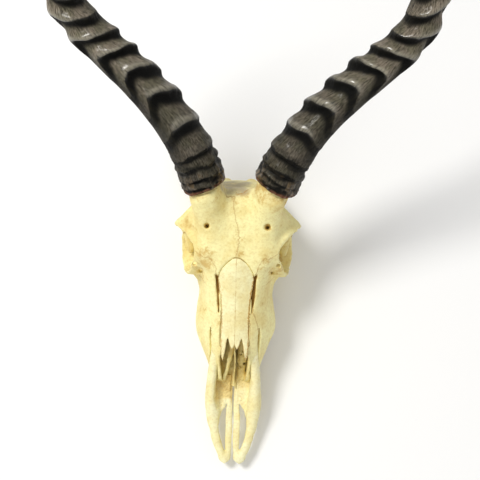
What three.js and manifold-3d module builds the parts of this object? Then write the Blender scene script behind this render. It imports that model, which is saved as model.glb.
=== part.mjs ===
// The skull of an impala ram, without its lower jaw, standing on its cheek teeth and on the two
// bony prongs beside its neck joint. Millimetres, +Z up. The nose points along -Y, the horns rise
// over the back, and +X is the animal's own left side.
import * as THREE from 'three';
import { mergeVertices } from 'three/addons/utils/BufferGeometryUtils.js';
import Module from 'manifold-3d';

const wasm = await Module();
wasm.setup();

// Driving dimensions. Places along the skull are counted back from the tip of the nose.
const skullLength = 251;       // nose tip to the neck joint
const crownHeight = 118;       // forehead between the horns, above the table
const eyeWidth = 107;          // across the two corners behind the eyes
const cheekWidth = 66;         // across the upper jaws at their widest
const hornLength = 454;        // along its middle line
const hornRootBack = 19.5;     // half the horn's depth, front to back, at its root
const hornRootSide = 18.2;     // half its width there
const coreDepth = 84;          // how far the bony core reaches into the horn
const toothRow = [7.5, 8.5, 8.5, 11, 14, 15];      // lengths of the six cheek teeth, front to back
const toothWidths = [6, 7.5, 9, 11.5, 12.5, 12];
const toothRowFront = 84;      // front of the first cheek tooth
const toothGap = 0.6;
const toothTall = 17;          // chewing face to root end
const fitGap = 0.35;           // left between bones, and between a tooth and its socket
const originBack = 193;        // the middle of the whole object, counted from the nose tip

const bone = { color: 0xe6d7a0, roughness: 0.62, metalness: 0 };
const palerBone = { color: 0xece0ac, roughness: 0.6, metalness: 0 };
const enamel = { color: 0xd9cfae, roughness: 0.4, metalness: 0 };
const horn = { color: 0x2b2722, roughness: 0.42, metalness: 0 };

const point = (x, y, z) => new THREE.Vector3(x, y, z);
const across = (p) => point(-p.x, p.y, p.z);
const blend = THREE.MathUtils.lerp;
const ease = (t) => THREE.MathUtils.smoothstep(t, 0, 1);

// The value at a place in a list of [place, value] pairs.
function read(list, place) {
  let i = 0;
  while (i < list.length - 2 && place > list[i + 1][0]) i++;
  const [a, from] = list[i];
  const [b, to] = list[i + 1];
  return blend(from, to, THREE.MathUtils.clamp((place - a) / (b - a), 0, 1));
}

// A closed surface as a solid for joining and cutting. Triangles that shrank to a line are left out.
function solid(geometry) {
  const bare = new THREE.BufferGeometry();
  bare.setAttribute('position', geometry.attributes.position.clone());
  if (geometry.index) bare.setIndex(geometry.index.clone());
  const merged = mergeVertices(bare, 1e-4);
  const places = merged.attributes.position.array;
  const corners = merged.index.array;
  const kept = [];
  let volume = 0;
  const a = point(), b = point(), c = point();
  for (let i = 0; i < corners.length; i += 3) {
    const [p, q, r] = [corners[i], corners[i + 1], corners[i + 2]];
    if (p === q || q === r || r === p) continue;
    kept.push(p, q, r);
    b.fromArray(places, 3 * q).cross(c.fromArray(places, 3 * r));
    volume += a.fromArray(places, 3 * p).dot(b);
  }
  if (volume < 0) kept.reverse();
  const triVerts = new Uint32Array(kept);
  const vertProperties = new Float32Array(places);
  return new wasm.Manifold(new wasm.Mesh({ numProp: 3, vertProperties, triVerts }));
}

function surface(body) {
  const mesh = body.getMesh();
  const geometry = new THREE.BufferGeometry();
  geometry.setAttribute('position', new THREE.BufferAttribute(new Float32Array(mesh.vertProperties), 3));
  geometry.setIndex(new THREE.BufferAttribute(new Uint32Array(mesh.triVerts), 1));
  geometry.computeVertexNormals();
  return geometry;
}

// A body through rings of points: a unit cylinder, one row of its points for each ring.
function skin(rings) {
  const sides = rings[0].length;
  const geometry = new THREE.CylinderGeometry(1, 1, 1, sides, rings.length - 1);
  const places = geometry.attributes.position;
  for (let i = 0; i < places.count; i++) {
    const ring = rings[Math.round((0.5 - places.getY(i)) * (rings.length - 1))];
    const turn = Math.atan2(places.getX(i), places.getZ(i)) / (2 * Math.PI) * sides;
    const onWall = Math.hypot(places.getX(i), places.getZ(i)) > 0.5;
    const at = onWall
      ? ring[(Math.round(turn) + sides) % sides]
      : ring.reduce((sum, p) => sum.add(p), point()).divideScalar(sides);
    places.setXYZ(i, at.x, at.y, at.z);
  }
  return geometry;
}

// A bar along a path, with an oval section whose two half sizes are read along it. It can start
// part of the way along.
function bar(path, halfWide, halfHigh, sides, steps, up, start = 0) {
  const curve = new THREE.CatmullRomCurve3(path);
  const rings = [];
  for (let i = 0; i <= steps; i++) {
    const t = blend(start, 1, i / steps);
    const centre = curve.getPoint(t);
    const ahead = curve.getTangent(t);
    const wide = point().crossVectors(ahead, up).normalize();
    const high = point().crossVectors(wide, ahead).normalize();
    const ring = [];
    for (let k = 0; k < sides; k++) {
      const turn = 2 * Math.PI * k / sides;
      ring.push(centre.clone()
        .addScaledVector(wide, Math.cos(turn) * read(halfWide, t))
        .addScaledVector(high, Math.sin(turn) * read(halfHigh, t)));
    }
    rings.push(ring);
  }
  return solid(skin(rings));
}

function ball(centre, radii, wide = 12, high = 8) {
  const geometry = new THREE.SphereGeometry(1, wide, high);
  geometry.scale(radii.x, radii.y, radii.z).translate(centre.x, centre.y, centre.z);
  return solid(geometry);
}

// A section across the skull, given as its left half from the top to the bottom.
function section(y, half, sides) {
  const left = half.map(([x, z]) => point(x, y, z));
  const right = left.filter((p) => p.x > 0).map(across).reverse();
  const loop = new THREE.CatmullRomCurve3([...left, ...right], true, 'centripetal');
  return loop.getSpacedPoints(sides).slice(0, sides);
}

const both = (make) => [1, -1].map((side) => make((p) => point(side * p.x, p.y, p.z), side));
const join = (bodies) => bodies.reduce((whole, next) => whole.add(next));
const cut = (body, tools) => tools.reduce((left, tool) => left.subtract(tool), body);

// The upper jaws and the bridge of the nose, back to between the eyes. Each section runs from the
// roof over the cheek to the outer and inner edge of the gum, and to the middle of the palate.
function face() {
  const cheek = cheekWidth / 2;
  const sections = [
    [66, [[0, 38], [9, 38], [15, 34], [17, 24], [13, 17], [6, 18], [0, 20]]],
    [79, [[0, 52], [12, 50.5], [21, 40], [20, 22], [15, 14], [9, 18], [0, 22]]],
    [96, [[0, 68], [13, 64.5], [cheek - 5.5, 43], [26, 17], [19, 11.5], [13, 15], [0, 24]]],
    [112, [[0, 76.5], [14, 72.5], [cheek - 0.3, 46], [31, 17], [23, 11.5], [15, 15], [0, 26]]],
    [130, [[0, 86], [17, 81], [cheek - 1.4, 52], [32.5, 18], [25, 11.5], [17, 16], [0, 27]]],
    [146, [[0, 94.5], [22, 89.5], [cheek - 1.6, 58], [33, 20], [26, 12], [18, 17], [0, 28]]],
    [158, [[0, 99.5], [28, 94], [cheek + 1.5, 64], [32, 28], [24, 20], [17, 24], [0, 31]]],
    [176, [[0, 107], [31, 98], [cheek - 3, 72], [22, 42], [14, 34], [9, 33], [0, 36]]],
    [192, [[0, 113], [30, 102], [28, 76], [20, 46], [13, 36], [8, 34], [0, 35]]],
  ];
  return solid(skin(sections.map(([y, half]) => section(y, half, 18))));
}

// The forehead: a shield that spreads over the eyes to the corners behind them. Each line is its
// distance back, half width, height at the middle and height of its edge.
function forehead() {
  const corner = eyeWidth / 2;
  const sections = [
    [147, 24, 94, 89], [157, 34, 99, 92.5], [166, 36.5, 103, 94.5], [175, 43, 107, 93.5],
    [184, corner - 3, 111, 90], [189, corner, 114, 87], [196, corner - 5, crownHeight - 1, 89],
    [202, corner - 12, crownHeight - 2, 92], [211, 34, 109, 90], [219, 31, 98, 82],
  ].map(([y, half, middle, edge]) => section(y, [
    [0, middle], [half * 0.5, middle - 2], [half * 0.85, edge + 3], [half, edge - 2],
    [half * 0.8, edge - 7], [0, middle - 22],
  ], 14));
  return solid(skin(sections));
}

// The braincase, bent down behind the horns to the neck joint.
function braincase() {
  const sections = [
    [186, 27, 104, 44], [198, 31, 112, 38], [208, 33.5, 107, 35], [218, 34, 96.5, 33], [229, 33, 83, 31],
    [236, 30, 69, 31], [243, 25, 55, 32], [247.5, 15, 47, 35],
  ].map(([y, half, top, bottom]) => section(y, [
    [0, top], [half * 0.72, blend(bottom, top, 0.86)], [half, blend(bottom, top, 0.5)],
    [half * 0.7, blend(bottom, top, 0.13)], [0, bottom],
  ], 14));
  return solid(skin(sections));
}

// The rim of the eye socket, a ring in space: from its top over the front and the cheek to the back.
const eyeRim = [
  [37, 164, 93], [36, 157, 91], [38, 151.5, 83], [40.5, 150, 71], [43, 153, 59], [45.5, 159, 51.5],
  [46.5, 167, 48.5], [47, 176, 51], [48, 185, 59], [50, 190, 71],
  [eyeWidth / 2 - 0.2, 187.5, 84], [46, 177, 92.5],
];
const eyeMiddle = point(45, 168, 70);
const eyeBack = 176;           // behind this the rings are drawn back

// A ring round the eye: the rim pushed out by a distance, moved in or out, and drawn back at the rear.
function eyeRing(to, grow, outward, rear) {
  return eyeRim.map(([x, y, z]) => {
    const away = point(0, y - eyeMiddle.y, z - eyeMiddle.z).normalize().multiplyScalar(grow);
    const late = Math.max(0, y + away.y - eyeBack);
    return to(point(x + outward, y + away.y + late * rear, z + away.z));
  });
}

// The bony funnel that carries the rim stands out from the side of the head.
function eyeFunnels() {
  return both((to) => solid(skin([
    eyeRing(to, 2.2, 0, 0), eyeRing(to, 2.8, -5, -0.1), eyeRing(to, 1, -16, -0.8),
    eyeRing(to, -5, -26, -0.9),
  ])));
}

// The cheekbone runs from the upper jaw under the eye and back to the braincase.
function cheekbones() {
  return both((to) => bar([point(27, 142, 47), point(37, 154, 48), point(44, 165, 49), point(45, 178, 52),
    point(44.5, 192, 55), point(42, 205, 57), point(36, 215, 58), point(27, 221, 59)].map(to),
  [[0, 2.5], [0.2, 3.2], [0.6, 2.8], [1, 4]], [[0, 5], [0.2, 6.5], [0.5, 5.5], [0.7, 4.6], [1, 7]],
  6, 9, point(0, 0, 1)));
}

// Under the braincase: the ear capsules, the prongs that the skull stands on, the two knuckles of
// the neck joint, and the plates behind the palate.
function underside() {
  const prongs = both((to) => bar([point(25, 238, 50), point(24.5, 238, 32), point(23, 237, 14),
    point(22, 236, -1)].map(to), [[0, 4], [0.5, 3.2], [1, 2]], [[0, 8], [0.5, 6], [1, 2.8]], 6, 4,
  point(0, 1, 0)));
  const capsules = both((to) => ball(to(point(16, 222, 30)), point(7.5, 11, 11), 8, 6));
  const knuckles = both((to) => ball(to(point(11, skullLength - 8.5, 38)), point(8, 8.5, 9.5), 8, 6));
  const plates = both((to) => bar([point(16, 155, 24), point(13, 170, 29), point(10, 186, 33),
    point(9, 200, 36)].map(to), [[0, 1.6], [1, 1.4]], [[0, 7], [0.5, 8.5], [1, 6]], 6, 4, point(0, 0, 1)));
  return [...prongs, ...capsules, ...knuckles, ...plates];
}

// The way the horns go. Each path starts at the horn's root, and the last points are the free tip.
const hornPaths = {
  left: [
    point(29.2, 208.5, 124), point(40.3, 225, 146), point(59.3, 244, 169), point(83.3, 261, 189),
    point(108, 277, 206), point(128, 294, 225), point(135.5, 317, 255), point(140.6, 340, 295),
    point(140, 358, 340), point(134, 371, 390), point(124, 380, 438), point(111, 387, 487),
  ],
  right: [
    point(-27.2, 208.5, 124), point(-36.8, 226, 147), point(-51.5, 243, 168), point(-74.2, 262, 190),
    point(-100, 280, 209), point(-124, 299, 230), point(-137, 320, 259), point(-140.7, 342, 297),
    point(-140, 359, 341), point(-135, 372, 390), point(-126, 380, 438), point(-113, 387, 487),
  ],
};

// Places of the ring ridges along each horn: crowded at the root, then a thumb's width apart. The
// first ones are those in the photograph, and the rest go on at the same spacing.
const seenRidges = {
  left: [5, 13, 22, 34, 56, 79, 102, 124, 145],
  right: [5, 14, 24, 35, 58, 85, 108, 130, 150],
};
const ridgeSpacing = 21;
const lastRidge = 355;
const allRidges = (name) => {
  const ridges = [...seenRidges[name]];
  while (ridges.at(-1) + ridgeSpacing < lastRidge) ridges.push(ridges.at(-1) + ridgeSpacing);
  return ridges;
};

// How far a ridge stands up, between one crest (0) and the next (1). The side to the root is steep.
const ridgeShape = [[0, 1], [0.4, 0.2], [0.8, 0], [1, 1]];
const ridgeHeight = [[0, 1], [38, 1.8], [70, 3.1], [380, 2.2]];
const ridgeFade = 280;         // beyond this the ridges grow lower
const ridgeLean = [[0, 0], [38, 2.7], [75, 9], [290, 9], [lastRidge, 0]];
const strongSide = [[0, 0.9], [120, 0.75], [185, -0.5], [380, -0.6]];

// The share of its root size that a horn keeps along its length.
const hornTaper = [
  [0, 1], [84, 0.81], [180, 0.71], [280, 0.54], [374, 0.34], [425, 0.18], [hornLength, 0.04],
];

function hornHalfSize(along) {
  const taper = read(hornTaper, along);
  return { back: hornRootBack * taper, side: hornRootSide * taper };
}

// Axes across a horn: one to its front, one to the animal's middle.
function hornAxes(curve, t, side) {
  const ahead = curve.getTangentAt(t);
  const front = point(0, -0.77, 0.64);
  front.addScaledVector(ahead, -front.dot(ahead)).normalize();
  const inward = point().crossVectors(front, ahead).multiplyScalar(side).normalize();
  return { ahead, front, inward };
}

// The ring of a horn at a distance along it. Ridges lean, their outer ends nearer the tip, and they
// fade towards the back. The strong side turns from the inner front to the outer front.
function hornRing(curve, ridges, along, side, sides) {
  const t = THREE.MathUtils.clamp(along / hornLength, 0, 1);
  const { ahead, front, inward } = hornAxes(curve, t, side);
  const size = hornHalfSize(along);
  const next = ridges.findIndex((ridge) => ridge > along + 0.01);
  const from = next > 0 ? ridges[next - 1] : 0;
  const to = next >= 0 ? ridges[next] : lastRidge;
  const inStep = next > 0 ? (along - from) / (to - from) : 1;
  const fade = 1 - ease((along - ridgeFade) / (lastRidge - ridgeFade));
  const tall = next >= 0 ? read(ridgeShape, inStep) * fade * read(ridgeHeight, along) : 0;
  const lean = read(ridgeLean, along);
  const strong = read(strongSide, along);
  const ring = [];
  for (let k = 0; k < sides; k++) {
    const turn = 2 * Math.PI * k / sides;
    const weight = 0.1 + 0.9 * ease((Math.cos(turn - strong) + 0.75) / 1.5);
    ring.push(curve.getPointAt(t)
      .addScaledVector(front, Math.cos(turn) * (size.back + tall * weight))
      .addScaledVector(inward, Math.sin(turn) * (size.side + tall * weight))
      .addScaledVector(ahead, -lean * Math.sin(turn) * Math.min(1, size.side / 8)));
  }
  return ring;
}

function hornPlaces(ridges) {
  const places = [0];
  ridges.forEach((ridge, i) => {
    const gap = (ridges[i + 1] ?? lastRidge) - ridge;
    const steps = gap > 14 ? [0, 0.4, 0.8] : [0, 0.6];
    steps.forEach((step) => places.push(ridge + step * gap));
  });
  for (let along = 372; along < hornLength; along += 17) places.push(along);
  places.push(hornLength);
  return places;
}

// The bony core that carries a horn: a stump that grows out of the forehead, stepped in under the
// horn's rim. With a gap it is the socket in the horn.
const coreAtRim = 0.78;        // as a share of the horn's own size
const coreAtEnd = 0.3;
const coreInHead = 14;         // how far the stump reaches down into the forehead
const socketSpare = 2;         // how far the socket reaches past each end of the core

function core(path, side, gap) {
  const curve = new THREE.CatmullRomCurve3(path, false, 'centripetal');
  const sides = 10;
  const rings = [];
  for (let along = 0; along <= coreDepth; along += coreDepth / 4) {
    const t = along / hornLength;
    const { front, inward } = hornAxes(curve, t, side);
    const size = hornHalfSize(along);
    const slim = blend(coreAtRim, coreAtEnd, Math.pow(along / coreDepth, 1.6));
    const ring = [];
    for (let k = 0; k < sides; k++) {
      const turn = 2 * Math.PI * k / sides;
      ring.push(curve.getPointAt(t)
        .addScaledVector(front, Math.cos(turn) * (size.back * slim + gap))
        .addScaledVector(inward, Math.sin(turn) * (size.side * slim + gap)));
    }
    rings.push(ring);
  }
  const { ahead } = hornAxes(curve, 0, side);
  const below = gap > 0 ? socketSpare : coreInHead;
  rings.unshift(rings[0].map((p) => p.clone().addScaledVector(ahead, -below)));
  if (gap > 0) {
    const end = hornAxes(curve, coreDepth / hornLength, side).ahead;
    rings.at(-1).forEach((p) => p.addScaledVector(end, socketSpare));
  }
  return solid(skin(rings));
}

// The bone under a horn's rim, nearly as wide as the horn and 0.35 mm short of it.
function pedicle(path, side) {
  const curve = new THREE.CatmullRomCurve3(path, false, 'centripetal');
  const { ahead, front, inward } = hornAxes(curve, 0, side);
  const sizes = [[-30, 0.35, 0.4], [-17, 0.82, 0.86], [-8, 0.88, 0.92], [-fitGap, 0.88, 0.92]];
  const sides = 12;
  const rings = sizes.map(([along, back, wide]) => {
    const ring = [];
    for (let k = 0; k < sides; k++) {
      const turn = 2 * Math.PI * k / sides;
      ring.push(path[0].clone().addScaledVector(ahead, along)
        .addScaledVector(front, Math.cos(turn) * hornRootBack * back)
        .addScaledVector(inward, Math.sin(turn) * hornRootSide * wide));
    }
    return ring;
  });
  return solid(skin(rings));
}

function hornSheath(name, side) {
  const path = hornPaths[name];
  const ridges = allRidges(name);
  const curve = new THREE.CatmullRomCurve3(path, false, 'centripetal');
  const rings = hornPlaces(ridges).map((along) => hornRing(curve, ridges, along, side, 12));
  return solid(skin(rings)).subtract(core(path, side, fitGap));
}

// The eye sockets, the nose passage, the opening under the nose bones, and the small holes for
// nerves and blood vessels.
function hollows() {
  const sockets = both((to) => solid(skin([
    eyeRing(to, 0, 8, 0), eyeRing(to, 0, 0, 0), eyeRing(to, 0, -5, 0), eyeRing(to, -0.5, -9, 1),
    eyeRing(to, -5, -20, 1), eyeRing(to, -13, -26, 0),
  ])));
  const behindEyes = both((to) => ball(to(point(43, 203, 73)), point(11, 11, 13), 8, 6));
  const passage = solid(skin([
    [60, 9.5, 60, 23], [76, 11.5, 62, 25], [96, 13, 58, 27], [112, 18, 66, 29], [130, 20, 73, 31],
    [146, 15, 76, 38], [154, 7, 70, 48],
  ].map(([y, half, top, bottom]) => section(y, [
    [0, top], [half * 0.8, blend(bottom, top, 0.96)], [half, blend(bottom, top, 0.4)],
    [half * 0.75, bottom + 1.5], [0, bottom],
  ], 10))));
  const pits = both((to) => {
    const brow = new THREE.CylinderGeometry(2, 2, 30, 6).rotateX(Math.PI / 2 + 0.55);
    return solid(brow.translate(to(point(25, 182, 95)).x, 182, 95));
  });
  const neckHole = ball(point(0, skullLength - 1, 44), point(8.5, 15, 7), 10, 6);
  return [...sockets, ...behindEyes, ...pits, passage, neckHole];
}

// The long clefts in the bone on both sides of the nose bones.
function clefts() {
  const path = [point(15, 143, 94), point(13.6, 134, 90), point(13.2, 126, 86), point(12.4, 114, 79)];
  return both((to) => bar(path.map(to), [[0, 0.5], [0.4, 1.1], [1, 0.4]], [[0, 7], [1, 7]], 4, 3,
    point(0, 0, 1)));
}

// Half the outline of the nose bones from above: the forked front, the side, the rounded back end.
const noseOutline = [
  [0.3, 89.5], [2, 86], [3.8, 89], [5.7, 95.5], [7.4, 88], [9.3, 77], [10.9, 81], [11.9, 96],
  [11.3, 108], [12, 117], [13.2, 127], [15, 140.5], [13.5, 144.6], [10.5, 148.5], [6.4, 151.8],
  [3.1, 153.5], [0.3, 151],
];
const noseTop = [[70, 57], [78, 62], [96, 69], [112, 77], [130, 86.5], [147, 96], [160, 101]];
const noseThick = 3.5;
const noseCrown = 0.022;       // the drop to the sides, by the square of the distance

// A nose bone is a plate cut to that outline, bent over the bridge of the nose. Grown a little and
// made tall, it is the seat that the bone lies in.
function nosePlate(side, thickness, sink, grow) {
  const middle = [7, 120];
  const outline = noseOutline.map(([x, y], i) => {
    const inner = x < 0.5 && grow > 0 ? -1 : x;
    const away = new THREE.Vector2(x - middle[0], y - middle[1]).normalize().multiplyScalar(grow);
    return new THREE.Vector2(side * (x < 0.5 ? inner : x + away.x), y + away.y);
  });
  const shape = new THREE.Shape(outline);
  const plate = new THREE.ExtrudeGeometry(shape, { depth: thickness, bevelEnabled: false });
  const places = plate.attributes.position;
  for (let i = 0; i < places.count; i++) {
    const [x, y] = [places.getX(i), places.getY(i)];
    places.setZ(i, places.getZ(i) + read(noseTop, y) - noseCrown * x * x - sink);
  }
  return solid(plate);
}

// The long limb of a front jaw bone, from the nose tip up beside the nose opening.
function jawLimb(side, grow, sides, steps, start) {
  const path = [[4.2, 0, 12], [9.3, 7, 13.5], [13.6, 18, 15.5], [16, 30, 17.5], [17.5, 43, 21.5],
    [18.4, 56, 27], [18, 69, 35], [16.4, 82, 45], [15.6, 95, 53], [14.4, 107, 60.5], [13.2, 117, 67]];
  const wide = [
    [0, 3], [0.1, 3.3], [0.25, 4.1], [0.37, 5.9], [0.44, 6.2], [0.53, 5], [0.68, 4.2], [0.85, 3], [1, 0.8],
  ];
  const high = [
    [0, 2.4], [0.2, 3], [0.3, 4], [0.4, 6.2], [0.5, 8], [0.6, 6.5], [0.7, 4], [0.85, 2.6], [1, 1],
  ];
  const more = (list) => list.map(([t, half]) => [t, half + grow]);
  const places = path.map(([x, y, z]) => point(side * x, y, z));
  return bar(places, more(wide), more(high), sides, steps, point(0, -0.2, 1), start);
}

// One front jaw bone: the limb, a thin inner splint beside the midline with a long hole between
// them, and the front of the bony palate, which closes the hole.
function frontJaw(side) {
  const to = (p) => point(side * p.x, p.y, p.z);
  const beside = [point(3.1, 0, 12), point(3.2, 20, 14), point(3.1, 40, 17), point(2, 65, 21.5)];
  const splint = bar(beside.map(to), [[0, 2.4], [0.3, 2.8], [0.7, 2.5], [1, 1]],
    [[0, 2.4], [0.5, 1.5], [1, 1.2]], 6, 4, point(0, 0, 1));
  const palate = bar([point(9.6, 45.5, 20), point(9.3, 56, 21), point(8.5, 65.1, 22)].map(to),
    [[0, 6.5], [0.3, 8], [1, 6.5]], [[0, 1.2], [1, 1.6]], 6, 2, point(0, 0, 1));
  return join([jawLimb(side, 0, 8, 12, 0), splint, palate]);
}

// Where a cheek tooth stands: how far out and back, and how far its row turns outwards there.
function toothPlace(index) {
  const before = toothRow.slice(0, index).reduce((sum, size) => sum + size + toothGap, 0);
  const back = toothRowFront + before + toothRow[index] / 2;
  const out = read([[toothRowFront, 18.5], [100, 21.5], [118, 23.5], [150, 25.2]], back);
  const turn = read([[toothRowFront, -0.16], [150, 0]], back);
  return { back, out, turn };
}

// A cheek tooth: columns at the lip side, a plainer tongue side and a level chewing face.
function tooth(index, side) {
  const { back, out, turn } = toothPlace(index);
  const wide = toothWidths[index];
  const half = toothRow[index] / 2;
  const lobes = index < 3 ? 1 : 2;
  const outline = [];
  const steps = 6 * lobes;
  for (let i = 0; i <= steps; i++) {
    const t = i / steps;
    const rib = 0.07 * wide * Math.cos(2 * Math.PI * lobes * t);
    outline.push(new THREE.Vector2(wide / 2 + rib - 0.35, blend(-half, half, t)));
  }
  for (let i = steps / 2; i >= 0; i--) {
    const t = i / (steps / 2);
    const swell = 0.16 * wide * Math.abs(Math.sin(Math.PI * lobes * t));
    outline.push(new THREE.Vector2(-wide * 0.34 - swell, blend(-half * 0.86, half * 0.86, t)));
  }
  const shape = new THREE.Shape(outline);
  const crown = new THREE.ExtrudeGeometry(shape, { depth: toothTall, bevelEnabled: false });
  if (side < 0) crown.scale(-1, 1, 1);
  return solid(crown.rotateZ(side * turn).translate(side * out, back, 0));
}

// The hole in the jaw for a tooth.
function toothSocket(index, side) {
  const { back, out, turn } = toothPlace(index);
  const wide = 1.07 * toothWidths[index] + 2 * fitGap;
  const box = new THREE.BoxGeometry(wide, toothRow[index] + 2 * fitGap, 2 * (toothTall + fitGap));
  box.translate(side * 0.02 * toothWidths[index], 0, 0);
  return solid(box.rotateZ(side * turn).translate(side * out, back, 0));
}

const skullGroup = new THREE.Group();
function add(name, body, finish, home = skullGroup) {
  const mesh = new THREE.Mesh(surface(body), new THREE.MeshStandardMaterial(finish));
  mesh.name = name;
  home.add(mesh);
}

const head = join([
  face(), forehead(), braincase(), ...eyeFunnels(), ...cheekbones(), ...underside(),
  pedicle(hornPaths.left, 1), pedicle(hornPaths.right, -1),
]);
const belowTable = solid(new THREE.BoxGeometry(100, 40, 10).translate(0, 236, -5));
const seats = both((to, side) => nosePlate(side, 30, noseThick + fitGap, fitGap + 0.2));
const jawSeats = both((to, side) => jawLimb(side, fitGap, 8, 6, 0.5));
const toothSockets = both((to, side) => toothRow.map((size, i) => toothSocket(i, side))).flat();
let skull = cut(head, [...hollows(), belowTable]);
skull = cut(skull, [...seats, ...clefts(), ...jawSeats, ...toothSockets]);
skull = join([skull, core(hornPaths.left, 1, 0), core(hornPaths.right, -1, 0)]);
add('skull', skull, bone);
both((to, side) => {
  const name = side > 0 ? 'left' : 'right';
  add(`${name}_horn_sheath`, hornSheath(name, side), horn);
  add(`${name}_nasal_bone`, nosePlate(side, noseThick, noseThick, 0), palerBone);
  add(`${name}_premaxilla`, frontJaw(side), palerBone);
  toothRow.forEach((size, i) => {
    const kind = i < 3 ? `premolar_${i + 2}` : `molar_${i - 2}`;
    add(`${name}_${kind}`, tooth(i, side), enamel);
  });
});

skullGroup.position.y = -originBack;
export default skullGroup;
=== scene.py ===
import math

import bmesh
import bpy
import numpy as np
import openvdb
from mathutils import Matrix, Vector


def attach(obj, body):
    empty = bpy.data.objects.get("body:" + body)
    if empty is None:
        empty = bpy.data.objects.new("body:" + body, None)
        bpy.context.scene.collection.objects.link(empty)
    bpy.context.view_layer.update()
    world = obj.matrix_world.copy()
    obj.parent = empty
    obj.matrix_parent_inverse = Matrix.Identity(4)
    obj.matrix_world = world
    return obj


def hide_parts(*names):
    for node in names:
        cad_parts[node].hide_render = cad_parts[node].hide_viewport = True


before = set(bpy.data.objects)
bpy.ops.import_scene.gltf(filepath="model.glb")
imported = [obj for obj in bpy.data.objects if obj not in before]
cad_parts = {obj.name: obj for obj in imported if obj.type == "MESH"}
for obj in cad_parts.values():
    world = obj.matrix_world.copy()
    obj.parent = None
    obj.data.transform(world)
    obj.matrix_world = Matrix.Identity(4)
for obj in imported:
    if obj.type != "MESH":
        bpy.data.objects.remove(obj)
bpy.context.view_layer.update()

# The table that the skull stands on, the soft daylight from the viewer's left and from behind the
# horns, and the camera, which looks down on the forehead.
MM = 0.001
origin_back = 193.0
scene = bpy.context.scene
scene.view_settings.view_transform = "Standard"


def tint(red, green, blue):
    """A colour as a paint card gives it, 0 to 255, in the values that light is worked out in."""
    values = [channel / 255 for channel in (red, green, blue)]
    return tuple(v / 12.92 if v < 0.04045 else ((v + 0.055) / 1.055) ** 2.4 for v in values) + (1.0,)


class Finish:
    """A socket in a material that is being put together. Sums with it add nodes to the material."""

    def __init__(self, tree, socket=None):
        self.tree = tree
        self.socket = socket

    def node(self, kind, settings, inputs, out=0):
        made = self.tree.nodes.new(kind)
        for name, value in settings.items():
            setattr(made, name, value)
        for name, value in inputs.items():
            if isinstance(value, Finish):
                self.tree.links.new(value.socket, made.inputs[name])
            else:
                made.inputs[name].default_value = value
        return Finish(self.tree, made.outputs[out] if made.outputs else None)

    def worked(self, operation, first, second=0.0):
        return self.node("ShaderNodeMath", {"operation": operation}, {0: first, 1: second})

    def __add__(self, other):
        return self.worked("ADD", self, other)

    def __radd__(self, other):
        return self.worked("ADD", other, self)

    def __sub__(self, other):
        return self.worked("SUBTRACT", self, other)

    def __rsub__(self, other):
        return self.worked("SUBTRACT", other, self)

    def __mul__(self, other):
        return self.worked("MULTIPLY", self, other)

    def __rmul__(self, other):
        return self.worked("MULTIPLY", other, self)

    def size(self):
        return self.worked("ABSOLUTE", self)

    def ramp(self, low, high, start=0.0, end=1.0):
        """From start to end as this value goes from low to high, with soft ends."""
        return self.node("ShaderNodeMapRange", {"interpolation_type": "SMOOTHSTEP"},
                         {0: self, 1: low, 2: high, 3: start, 4: end})

    def colour(self, without, covered):
        """One colour where this value is 0, and another where it is 1."""
        return self.node("ShaderNodeMix", {"data_type": "RGBA"}, {0: self, 6: without, 7: covered}, 2)

    def stretched(self, amounts):
        return self.node("ShaderNodeVectorMath", {"operation": "MULTIPLY"}, {0: self, 1: amounts})

    def noise(self, grain, detail=3.0, rough=0.55):
        """Cloudy variation over this place, in patches of about that many millimetres."""
        return self.node("ShaderNodeTexNoise", {}, {"Vector": self, "Scale": 1 / grain, "Detail": detail,
                "Roughness": rough})

    def cells(self, grain):
        return self.node("ShaderNodeTexVoronoi", {}, {"Vector": self, "Scale": 1 / grain})

    def marked(self, name, out=2):
        """What was worked out for each point of the mesh under that name: 2 is a number, 1 a vector."""
        return self.node("ShaderNodeAttribute", {"attribute_name": name}, {}, out)

    def place(self):
        """The place on the piece, in millimetres."""
        at = self.node("ShaderNodeTexCoord", {}, {}, 3)
        return at.stretched((1 / MM, 1 / MM, 1 / MM))


def new_finish(name):
    material = bpy.data.materials.new(name)
    material.use_nodes = True
    material.node_tree.nodes.clear()
    return material, Finish(material.node_tree)


def laid_on(finish, sockets, height=None, depth=0.0):
    """Ends a material: a surface with those sockets, and with a relief of that many millimetres."""
    if height is not None:
        sockets["Normal"] = finish.node("ShaderNodeBump", {},
                                        {"Strength": 1.0, "Distance": depth * MM, "Height": height})
    coat = finish.node("ShaderNodeBsdfPrincipled", {}, sockets)
    finish.node("ShaderNodeOutputMaterial", {}, {"Surface": coat})


table_mesh = bpy.data.meshes.new("table")
table_mesh.from_pydata([(-4, -4, 0), (4, -4, 0), (4, 4, 0), (-4, 4, 0)], [], [(0, 1, 2, 3)])
table = bpy.data.objects.new("table", table_mesh)
scene.collection.objects.link(table)
table_finish, finish = new_finish("pale_table")
laid_on(finish, {"Base Color": tint(250, 250, 250), "Roughness": 0.9})
table_mesh.materials.append(table_finish)

world = bpy.data.worlds.new("daylight")
world.use_nodes = True
world.node_tree.nodes["Background"].inputs["Color"].default_value = (1.0, 1.0, 1.0, 1.0)
world.node_tree.nodes["Background"].inputs["Strength"].default_value = 0.52
scene.world = world
lamps = [("key", (-1.0, 0.35, 2.1), 0.7, 33.0), ("fill", (-0.3, -1.7, 2.0), 1.6, 6.5)]
for name, spot, across, power in lamps:
    lamp = bpy.data.lights.new(name, "AREA")
    lamp.shape = "DISK"
    lamp.size = across
    lamp.energy = power
    lamp.color = (1.0, 0.985, 0.95)
    holder = bpy.data.objects.new(name, lamp)
    holder.location = spot
    holder.rotation_euler = (Vector((0, 0, 0.1)) - Vector(spot)).to_track_quat("-Z", "Y").to_euler()
    scene.collection.objects.link(holder)

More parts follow.
